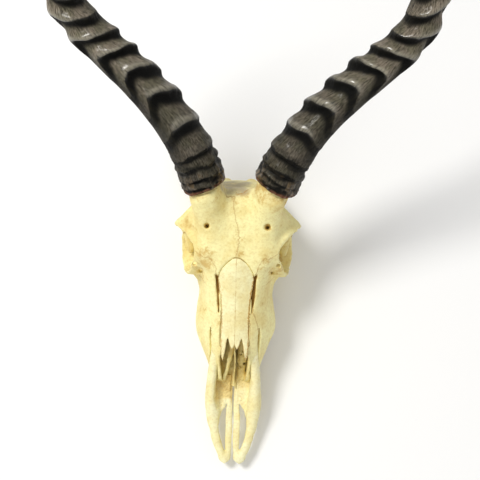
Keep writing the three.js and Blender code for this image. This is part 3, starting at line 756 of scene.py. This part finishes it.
def seam_marks(points, facing):
    """For each point, how far it is to one side of the nearest grown-together line and from it, and
    how strongly that line shows."""
    nearest, signed, bold = (np.full(len(points), 99.0) for _ in range(3))
    for strength, seam in seams:
        line = even(through(np.arange(len(seam)), seam, np.linspace(0, len(seam) - 1, 200)), 60, False)
        for a, b in zip(line[:-1], line[1:]):
            t = held((points - a) @ (b - a) / ((b - a) @ (b - a)))
            away = points - a - t[:, None] * (b - a)
            off = (away * facing).sum(1)
            sideways = away - facing * off[:, None]
            length = np.linalg.norm(sideways, axis=1) + np.maximum(np.abs(off) - 6, 0)
            closer = length < nearest
            across = (sideways * np.cross(facing, (b - a) / np.linalg.norm(b - a))).sum(1)
            nearest = np.where(closer, length, nearest)
            signed = np.where(closer, across, signed)
            bold = np.where(closer, strength, bold)
    return signed, nearest, bold


bone_points, bone_facing = points_of(skull)
seam_side, seam_far, seam_bold = seam_marks(bone_points, bone_facing)
mark(skull, seam=seam_side)
mark(skull, seam_bold=seam_bold * (seam_far < 3.5))
depth_inside = np.clip(-before_holes.at(bone_points), 0, 9)
across, back, high = np.abs(bone_points[:, 0]), bone_points[:, 1], bone_points[:, 2]
in_socket = (across > 22) & (back > 150) & (high < 96)
in_cleft = (across > 12) & (back > 110) & (back < 143) & (high > 0.55 * back - 2)
in_slit = (across > 15.5) & (across < 24) & (back > 72) & (back < 116) & (high > 36)
in_nose = (across < 14) & (back < 108)
near_hole = np.min([far(np.stack([across, back, high], 1), (25.2, y, 109)) for y in (178, 181)], axis=0)
curl_far = np.min([far(bone_points, spot) for spot in ((-4, 91, 42), (-5.3, 85, 39), (-6.6, 80, 36),
        (-7.7, 75, 33), (-8.6, 69, 30))], axis=0)
# How deep each point lies in a hole sets the ochre and then dark brown painted on the bone there: partly
# stain and partly painted shade in the hollows. Clefts are pushed darkest and sockets least. In the nose
# passage, the parts under the nose plates get painted shade too, and the curled sheets stay paler.
depth_inside = depth_inside * np.select([in_socket, in_cleft, in_slit, (back > 150) & (high > 36)
                                         & (high < 96)], [0.32, 6.0, 2.2, 0.45], 1.0)
below_plates = in_nose & (high < read(nose_top, back) - 5)
nose_depth = np.maximum(np.clip(depth_inside, 0, 3.4), 2.6 * below_plates) * np.clip(curl_far / 5 - 0.3, 0.3,
        1)
mark(skull, deep=np.where(in_nose, nose_depth, depth_inside))
# Under the horn rims the bone is darkened: partly real stain and partly painted shade where the rims overhang
# it. The rim of the left horn gets more.
rim_left = far(bone_points, horn_ways["left"][0])
rim_right = far(bone_points, horn_ways["right"][0])
under_rim_stain_and_shade = np.maximum(0.9 * held(1 - (rim_left - 17) / 7), 0.5 * held(1 - (rim_right - 17) / 6))
before_eye = held(1 - far(np.abs(bone_points), (30, 148, 80)) / 17)
stains = [(24, 151, 94, 9, 1.0), (-25, 153, 94, 11, 1.1), (-36, 181, 92, 9, 0.8), (27, 196, 118, 8, 0.7),
          (-3, 190, 113, 6, 0.6), (-27, 122, 58, 10, 0.6), (23, 126, 70, 9, 0.5), (-14, 108, 73, 6, 1.0),
          (6, 206, 115, 8, 0.9), (-42, 186, 90, 8, 0.8), (2, 158, 100, 5, 0.8), (-28, 96, 48, 8, 0.5),
          (0, 176, 108, 4, 0.6), (35, 184, 100, 7, 0.5), (1, 168, 104, 5, 0.8), (-3, 198, 116, 6, 0.7)]
# The stain mark gathers real stains with painted shade: the band under the horn rims and the insides of the
# eye sockets are darkened partly as painted shade.
worn = np.maximum(np.maximum(under_rim_stain_and_shade, 0.9 * before_eye), in_socket * np.clip(depth_inside, 0, 0.5))
worn = np.maximum(worn, held(1.6 - near_hole / 2.5))
for *spot, wide, strength in stains:
    worn = np.maximum(worn, strength * held(1.4 - far(bone_points, spot) / wide))
mark(skull, stain=worn)
# Grey on the crown and down the back of the braincase: partly the bone's own grey patches and partly painted
# shade on the slope that falls away behind the horns.
crown = held(2.4 - np.abs(bone_points[:, 0] + 3) / 6 + 0.8 * lumps(bone_points, 9, 60))
mark(skull, grey=crown * held((back - 200) / 4) * held((high - 52) / 16))

# The horn sheaths are hollow horn, grown over the bony cores. Strong rings stand round them, mostly
# on the front, crowded at the root and fading to a smooth tip. The horn is dark and polished on the
# rings, with painted highlights on the ring edges, painted light on the slope on the tip side of
# each ring and painted shade in the pocket on its root side.
horn_taper = [(0, 1), (84, 0.81), (180, 0.71), (280, 0.54), (374, 0.34), (425, 0.18), (454, 0.04)]
seen_ridges = {"left": [5, 13, 22, 34, 56, 79, 102, 124, 145],
               "right": [5, 14, 24, 35, 58, 85, 108, 130, 150]}

ridge_gap, last_ridge, tip_start = 21, 355, 376  # how the ridges go on beyond those that are seen


def horn_finish():
    """Horn: nearly black, with fibres along it, polished on the ring edges. Painted light: the slopes on
    the tip side of the rings are painted grey, and the ring edges lighter still as a highlight. Painted
    shade: the pockets on the root side are painted nearly black.
    """
    made, horn = new_finish("dark_horn")
    grain = horn.marked("grain", 1)
    fibre = grain.stretched((1.0, 1.0, 0.1)).noise(0.6, 4, 0.65)
    coarse = grain.stretched((1.0, 1.0, 0.16)).noise(2.6, 4, 0.65)
    speck = grain.stretched((1.0, 1.0, 0.35)).noise(0.8, 3, 0.7)
    blotch = grain.noise(15, 4, 0.6)
    crest = horn.marked("crest")
    slope = horn.marked("slope")
    painted_pocket_shade = horn.marked("painted_pocket_shade")
    root = horn.marked("along").ramp(6.0, 30.0, 1, 0)
    base = coarse.ramp(0.35, 0.7).colour(tint(6, 5, 3), tint(34, 31, 20))
    # Painted light: the slopes on the tip side of each ring, which face the lamp, are painted a light grey
    # with fibres and specks. This grey darkens towards the root.
    painted_lit_slope = blotch.ramp(0.4, 0.6).colour(tint(138, 131, 108), tint(164, 151, 132))
    painted_lit_slope = (horn.marked("along").ramp(60.0, 140.0, 1, 0) * 0.5).colour(painted_lit_slope, tint(42, 41, 26))
    base = (slope * (fibre.ramp(0.3, 0.66) * 0.6 + speck.ramp(0.36, 0.66) * 0.4)).colour(base, painted_lit_slope)
    # Painted highlight, partly wear: the ring edges are painted a lighter grey along the fibres.
    base = (crest.ramp(0.8, 1.0) * fibre.ramp(0.3, 0.6) * 0.75).colour(base, tint(150, 144, 126))
    base = (root * blotch.ramp(0.35, 0.6) * coarse.ramp(0.42, 0.64) * 0.7).colour(base, tint(118, 92, 52))
    edge = horn.marked("along").ramp(1.0, 6.0, 1, 0) * grain.noise(9, 3, 0.6).ramp(0.4, 0.58)
    base = (edge * 0.8).colour(base, tint(116, 64, 32))
    # Painted shade: the pockets on the root side of each ring, and the grooves of the small rings at the
    # root, turn nearly black.
    base = (painted_pocket_shade * 0.95).colour(base, tint(5, 5, 3))
    relief = fibre * 0.4 + coarse * 0.7 + speck * 0.7
    worn = crest.ramp(0.5, 1.0) + slope * speck.ramp(0.4, 0.62) * 0.5 + root * coarse.ramp(0.4, 0.6) * 0.8
    gloss = worn * (1 - painted_pocket_shade)
    laid_on(horn, {"Base Color": base, "Roughness": 0.55 + fibre * 0.2, "Specular IOR Level": 0.14,
                   "Coat Weight": gloss.worked("MINIMUM", gloss, 1.0), "Coat Roughness": 0.24}, relief, 1.2)
    return made


dark_horn = horn_finish()
ring_profile = [(0, 1), (0.06, 0.97), (0.13, 0.86), (0.22, 0.62), (0.34, 0.32), (0.48, 0.1), (0.6, 0),
                (0.7, 0.04), (0.79, 0.28), (0.87, 0.66), (0.94, 0.93), (1, 1)]
# degrees from the middle of the ridges inward, with their height, how far nearer the tip, how sunk
ring_sector = [(-180, 0.06), (-85, 0.04), (-55, 0.1), (-36, 0.42), (-18, 0.84), (0, 1), (40, 1), (70, 0.88),
               (92, 0.76), (115, 0.5), (145, 0.2), (180, 0.06)]
ring_lean = [(-180, -8), (-75, -10), (-52, -7), (-36, -1.5), (-22, 3.5), (-6, 6), (10, 5), (30, 1.8),
             (48, -1.5), (62, -4.2), (90, -9.6), (120, -12), (180, -8)]
ring_sunk = [(-180, 0), (-60, 0), (-25, 0.5), (0, 0.62), (40, 0.45), (75, 0.05), (180, 0)]
for name, side in both_sides:
    ridges = list(seen_ridges[name])
    while ridges[-1] + ridge_gap < last_ridge:
        ridges.append(ridges[-1] + ridge_gap)
    around, rows = ((156, 610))
    along = np.concatenate([np.linspace(0, 1, 8, endpoint=False), np.linspace(1, horn_length, rows)])
    turn = np.linspace(0, 2 * math.pi, around, endpoint=False)
    spin = np.stack([np.cos(turn), np.sin(turn)], 1)
    centre, forward, front, inward = horn_line(name, along)
    taper = smooth(horn_taper, along)
    taper[-12:] *= np.sqrt(np.linspace(1, 0.02, 12))
    grid = np.concatenate([np.broadcast_to(spin[None] * 14, (len(along), around, 2)),
                           np.broadcast_to(along[:, None, None], (len(along), around, 1))], axis=2)
    seed = 20 if side > 0 else 40
    lean = read([(0, 0), (38, 0.3), (75, 1), (290, 1), (355, 0)], along)[:, None]
    twist = through([0, 60, 105, 130, 160, 190, 380], [14, 20, 20, 2, -48, -66, -62], along)[:, None]
    degrees = np.mod(np.degrees(turn)[None] - twist + 180, 360) - 180
    leaning, strength, sunk = (smooth(row, degrees) for row in (ring_lean, ring_sector, ring_sunk))
    wander = along[:, None] - leaning * lean + 1.6 * lumps(grid, 11, seed) + 0.8 * lumps(grid, 4.5, seed + 1)
    starts = np.array([0, *ridges, tip_start], float)
    step = np.clip(np.searchsorted(starts, wander, side="right") - 1, 0, len(starts) - 2)
    share = held((wander - starts[step]) / (starts[step + 1] - starts[step]))
    crest = held(smooth(ring_profile, share))
    crest = np.where(step == 0, held(share * 4 - 3), crest) * held((360 - wander) / 80) ** 0.8
    tall = read([(0, 1.1), (38, 2.2), (62, 4), (90, 4.5), (180, 4.7), (250, 4), (380, 2.2)], along)[:, None]
    strength = strength + (0.8 - strength) * np.clip(1 - along / 45, 0, 0.55)[:, None]
    fibres = grid * (1, 1, 0.08)
    relief = (crest - sunk * lean) * tall * strength * (1 + 0.25 * lumps(grid, 9, seed + 2))
    small_rings = np.abs(lumps(grid * (0.35, 0.35, 1), 4.4, seed + 6))
    small_rings = small_rings + 0.5 * np.abs(lumps(grid * (0.5, 0.5, 1), 2.3, seed + 7))
    relief = relief + (0.7 - 2.0 * small_rings) * held(1.3 - along / 45)[:, None]
    threads = 0.2 * lumps(fibres, 1.7, seed + 3) + 0.3 * lumps(fibres, 4, seed + 4)
    relief = relief + threads * np.minimum(1, taper[:, None] * 2)
    rim = held(1 - along / 3)[:, None]
    relief = relief - 1.2 * rim ** 2 + 0.4 * rim * lumps(grid, 3, seed + 5)
    halves = (size * taper[:, None] + relief for size in horn_root)
    out = ovals(centre, front, inward, turn, *halves)
    raised = 2.4 * held(np.cos(turn - 0.35)) ** 2
    ahead_by = raised * held(1 - along / 20)[:, None] - 0.3 * crest ** 4 * strength
    out = out + forward[:, None] * ahead_by[..., None]
    inside = []
    for deep, share_left in ((16, 0.70), (6, 0.765), (0.4, 0.785), (0.05, 0.80)):
        spot, ahead_of, front_of, inward_of = horn_line(name, np.array([float(deep)]))
        inside.append(spot + front_of * np.cos(turn)[:, None] * (horn_root[0] * share_left + 0.35) + inward_of
                      * np.sin(turn)[:, None] * (horn_root[1] * share_left + 0.35) + ahead_of
                      * (raised * (deep < 1))[:, None])
    points, walls, ends = skin(np.concatenate([np.array(inside), out]))
    order = -1 if side > 0 else 1
    sheath = piece(name + "_horn", points, walls[:, ::order].tolist() + ends[:, ::order].tolist(), dark_horn,
                   "horn", name + "_horn_sheath")
    seen = strength * held(tall / 3)
    # Painted light and shade for each ring: the crest mark paints a highlight on the ring edge, the slope
    # mark paints light on the slope on the tip side, and the pocket mark paints shade on the root side and in
    # the small rings at the root.
    marks = {"crest": crest * seen, "slope": (0.25 + 0.75 * seen)
             * np.interp(share, [0, 0.05, 0.15, 0.5, 0.68], [0.9, 1, 1, 0.8, 0]),
             "painted_pocket_shade": np.maximum(seen * np.interp(share, [0.45, 0.66, 0.84, 0.95], [0, 1, 1, 0])
                                  * (step > 0), held(small_rings * 3 - 1.5)
                                  * held(1.3 - along / 45)[:, None]),
             "along": np.broadcast_to(along[:, None], crest.shape)}
    for mark_name, values in marks.items():
        mark(sheath, **{mark_name: np.append(np.concatenate([np.zeros((4, around)), values]).ravel(),
                [0, 0])})
    inner_grain = np.concatenate([np.broadcast_to(grid[:1], (4, around, 3)), grid]).reshape(-1, 3)
    mark(sheath, grain=np.vstack([inner_grain, inner_grain[-2:]]))

# The nose bones are two long forked plates over the nose passage. They lie loose in their seats,
# and a brown line parts them in the middle.
nose_finish = bone_finish("nose_bone", tint(252, 246, 194), tint(242, 228, 166), tint(204, 158, 82),
                          tint(200, 152, 66), 0.25)
for name, side in both_sides:
    near, away = sorted((-3 * side, 17 * side))
    block = Bone((near, 72, 50), (away, 157, 108), 0.55, 3.0)
    x, y, z = block.axes()
    flat = outline_distance(side * x, y, nose_outline)
    top = smooth(nose_top, y) - nose_arch * x * x
    thick = read([(70, 1.6), (100, 2.6), (130, 3.4)], y)
    plate = -join_soft(-np.maximum(z - top, top - thick - z), -np.broadcast_to(flat, block.field.shape), 1.1)
    block.field = plate.astype(np.float32)
    block.roughen(0.3, 8, 31)
    block.roughen(0.18, 3, 33)
    block.trim(-0.7 - side * x)
    points, faces = block.surface()
    points[:, 0] = side * np.maximum(side * points[:, 0], 0.03)
    nose = piece(name + "_nose_bone", points, faces, nose_finish, "nasal_bone", name + "_nasal_bone",
                 most=36000)
    shell = bmesh.new()
    shell.from_mesh(nose.data)
    bmesh.ops.dissolve_degenerate(shell, dist=0.04 * MM, edges=shell.edges[:])
    shell.to_mesh(nose.data)
    shell.free()
    nose.data.set_sharp_from_angle(angle=math.radians(42))
    at, _ = points_of(nose)
    under = read(nose_top, at[:, 1]) - nose_arch * at[:, 0] ** 2 - at[:, 2]
    edge = -outline_distance(side * at[:, 0], at[:, 1], nose_outline)
    mark(nose, seam=edge - 0.5)
    mark(nose, seam_bold=(0.9 if side > 0 else 0.5) * (np.abs(at[:, 0]) > 9) * (at[:, 1] < 142))
    # Below the top of the plates, on their sides and undersides, the bone turns ochre: partly stain and
    # partly painted shade.
    mark(nose, deep=np.clip(under - 1.0, 0, 3) * 1.4)
    middle = 0.8 * held(1 - (np.abs(at[:, 0]) - 0.1) / 0.5)
    mark(nose, stain=np.maximum(held(1 - edge / 1.4) * 0.8, middle))
    mark(nose, grey=0)

# The front jaw bones: each has a long curved limb, a thin splint beside the middle, and the front
# of the bony palate between them. They are paler than the skull and reach up beside the nose.
jaw_finish = bone_finish("jaw_bone", tint(252, 247, 200), tint(246, 234, 172), tint(208, 164, 90),
                         tint(176, 130, 66), 0.2)
for name, side in both_sides:
    near, away = sorted((-2 * side, 27 * side))
    block = Bone((near, -5, 6), (away, 121, 72), 0.62, 3.5)
    block.fill(bar(mirrored(jaw_limb, side), limb_wide, limb_high, (0, -0.2, 1), 0.0, 90, 28), 0)
    splint = [(3.4, 2.5, 12), (3.1, 20, 14), (2.9, 40, 17), (1.9, 65, 21.5)]
    block.fill(bar(mirrored(splint, side), [(0, 1.8), (0.2, 2.7), (0.7, 2.5), (1, 1)],
                   [(0, 2), (0.5, 1.5), (1, 1.2)]), 1.5)
    block.lay(block.ball((side * 6.6, 4.2, 11.9), (5.2, 5, 3.4)), 1.5)
    palate = [(9, 8, 12), (9.5, 24, 14), (9.6, 40, 17.5), (9.4, 52, 20.4), (9, 62, 24), (8, 72, 27)]
    block.fill(bar(mirrored(palate, side), [(0, 3), (0.3, 5), (0.55, 7), (1, 6.2)], [(0, 1.5), (1, 1.1)]), 2)
    hollow = ([(10.5, 42, 27), (11.5, 52, 30), (12, 64, 34), (10.5, 80, 47)] if side < 0
              else [(9, 52, 30), (10, 60, 33), (11, 69, 38), (10.5, 80, 47)])
    wide, high = ([(0, 3), (0.3, 5), (1, 2)], [(0, 6), (0.3, 8), (0.7, 7), (1, 3)]) if side < 0 else (
        [(0, 2), (0.4, 3.6), (1, 2)], [(0, 4), (0.4, 7), (1, 3)])
    block.cut(bar(mirrored(hollow, side), wide, high), 2)
    fissure = np.array([(5.4, 47.8), (9.6, 41.4), (11.7, 35.5), (11.8, 28), (10.4, 18.8), (8, 12.2),
                        (6.2, 9.6), (6, 14), (6.2, 32)])
    near, away = sorted((side * 5, side * 12))
    box = block.part((near, 9, 6), (away, 48, 30))
    x, y, z = block.axes(box)
    flat = outline_distance(side * x, y, fissure)
    block.carve((box, flat), 1.2)
    block.roughen(0.35, 9, 51 if side > 0 else 52)
    block.roughen(0.2, 3, 53)
    inner_wall = 15.5 if side < 0 else 9.5
    pits = np.random.default_rng(54).uniform((4, 46), (inner_wall - 1, 70), (60, 2))
    for out, back in pits:
        block.carve(block.ball((side * out, back, read([(40, 18.8), (52, 21.6), (62, 25.2), (72, 28.2)],
                back)), (0.9, 1, 0.9)), 0.3)
    points, faces = block.surface()
    jaw = piece(name + "_front_jaw", points, faces, jaw_finish, "jaw_bone", name + "_premaxilla", most=56000)
    at, _ = points_of(jaw)
    mark(jaw, seam=9, seam_bold=0)
    ragged_back = at[:, 1] + 5 * lumps(at, 5, 55)
    # The palate floor and the inner wall of each limb are painted ochre to brown: partly stain and partly
    # painted shade, heavier on the right jaw, whose floor lies in shade.
    floor = held((inner_wall + 1 - np.abs(at[:, 0])) / 1.5) * held((ragged_back - 44) / 9)
    floor *= held((31 - at[:, 2]) / 3)
    wall = held(14.4 - np.abs(at[:, 0])) * held((ragged_back - 52) / 12) * (at[:, 1] < 94)
    mark(jaw, deep=np.maximum(floor * (4.8 if side < 0 else 2.6), wall * 3.6))
    mark(jaw, stain=floor * 0.4, grey=0)

# Twelve cheek teeth stand in their sockets, three premolars and three molars on each side. Their
# enamel is cream with brown lines, and the chewing faces are worn flat, with dark crescents.
def tooth_finish():
    made, tooth = new_finish("tooth_enamel")
    at = tooth.place()
    streak = at.stretched((1.0, 1.0, 0.12)).noise(1.3, 4, 0.6)
    fine = at.noise(0.7, 3)
    pit = tooth.marked("pit").ramp(0.1, 0.9)
    base = streak.ramp(0.4, 0.7).colour(tint(238, 228, 198), tint(196, 172, 124))
    base = (streak.ramp(0.56, 0.7) * 0.6).colour(base, tint(112, 80, 46))
    base = tooth.marked("worn").ramp(0.2, 0.9).colour(base, tint(176, 140, 88))
    base = pit.colour(base, tint(52, 36, 24))
    laid_on(tooth, {"Base Color": base, "Roughness": 0.3 + streak * 0.25, "Coat Weight": 0.2,
                    "Coat Roughness": 0.25}, streak * 0.6 + fine * 0.2, 0.35)
    return made


enamel = tooth_finish()
for name, side in both_sides:
    for index in range(6):
        ring = tooth_outline(index, side)
        block = Bone((*(ring.min(0) - 1.5), -1.5), (*(ring.max(0) + 1.5), tooth_tall + 1.5), 0.36, 1.5)
        x, y, z = block.axes()
        flat = outline_distance(x, y, ring) + 0.03 * z
        middle = ring.mean(0)
        shape = -join_soft(-flat, -(np.abs(z - tooth_tall / 2) - tooth_tall / 2), 0.8)
        lobes = [0] if index < 3 else [-0.24, 0.24]
        cup = np.full(x.shape[:1] + y.shape[1:2] + (1,), 9.0)
        for lobe in lobes:
            dx, dy = x - middle[0], y - middle[1] - lobe * tooth_lengths[index]
            reach = (0.5 if index < 3 else 0.26) * tooth_lengths[index]
            bow = np.abs(np.sqrt((dx - side * 0.32 * tooth_widths[index]) ** 2 + dy ** 2) - 0.36
                         * tooth_widths[index])
            cup = np.minimum(cup, np.maximum(bow - 0.45, np.abs(dy) - reach))
        block.field = -join_soft(-shape, np.maximum(cup, z - 1.6), 0.3).astype(np.float32)
        block.roughen(0.12, 1.6, 60 + index)
        block.trim(-z)
        points, faces = block.surface()
        kind = f"premolar_{index + 2}" if index < 3 else f"molar_{index - 2}"
        tooth = piece(f"{name}_{kind}_tooth", points, faces, enamel, "tooth_enamel", f"{name}_{kind}",
                      most=9000)
        at, _ = points_of(tooth)
        on_face = held(1 - at[:, 2] / 1.2)
        rim_far = -outline_distance(at[:, 0], at[:, 1], ring)
        mark(tooth, worn=on_face * held((rim_far - 0.8) / 0.5))
        mark(tooth, pit=held((at[:, 2] - 0.25) / 0.6) * (rim_far > 1.2))
